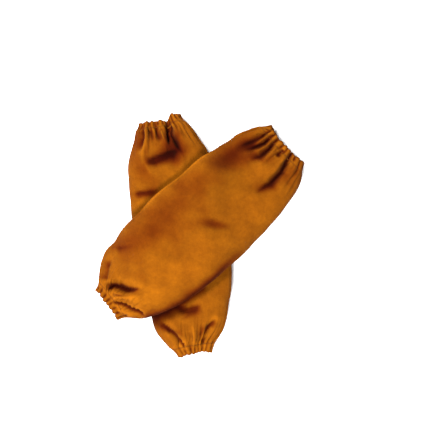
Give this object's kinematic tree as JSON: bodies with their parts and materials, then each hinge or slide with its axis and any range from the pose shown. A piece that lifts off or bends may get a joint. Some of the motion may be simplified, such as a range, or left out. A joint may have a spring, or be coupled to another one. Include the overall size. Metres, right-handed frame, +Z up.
{
  "type": "leather arm sleeves",
  "caption": "Pair of long split-leather tubes with gathered elastic cuffs at both ends, worn over the arms and laid crossed, one resting over the other.",
  "frame": {"origin": "middle of the pair's outline on the surface it lies on", "axes": "+Z up, +Y along the pair's longest side, close to the under sleeve's length from its wrist end to its upper arm end"},
  "size_m": [0.3807, 0.4494, 0.0792],
  "materials": {
    "leather": "matt golden split suede",
    "elastic": "woven, matt",
    "thread": "twisted sewing thread"
  },
  "bodies": {
    "under_sleeve": {"under_leather_panel": "leather", "under_seam_thread": "thread", "under_wrist_elastic": "elastic", "under_wrist_elastic_tack": "thread", "under_wrist_hem_thread": "thread", "under_arm_elastic": "elastic", "under_arm_elastic_tack": "thread", "under_arm_hem_thread": "thread"},
    "over_sleeve": {"over_leather_panel": "leather", "over_seam_thread": "thread", "over_wrist_elastic": "elastic", "over_wrist_elastic_tack": "thread", "over_wrist_hem_thread": "thread", "over_arm_elastic": "elastic", "over_arm_elastic_tack": "thread", "over_arm_hem_thread": "thread"}
  },
  "joints": [
    {"name": "over_sleeve_lift", "type": "slide", "parent": "under_sleeve", "child": "over_sleeve", "axis": [0, 0, 1], "range_m": [0, 0.15]}
  ]
}
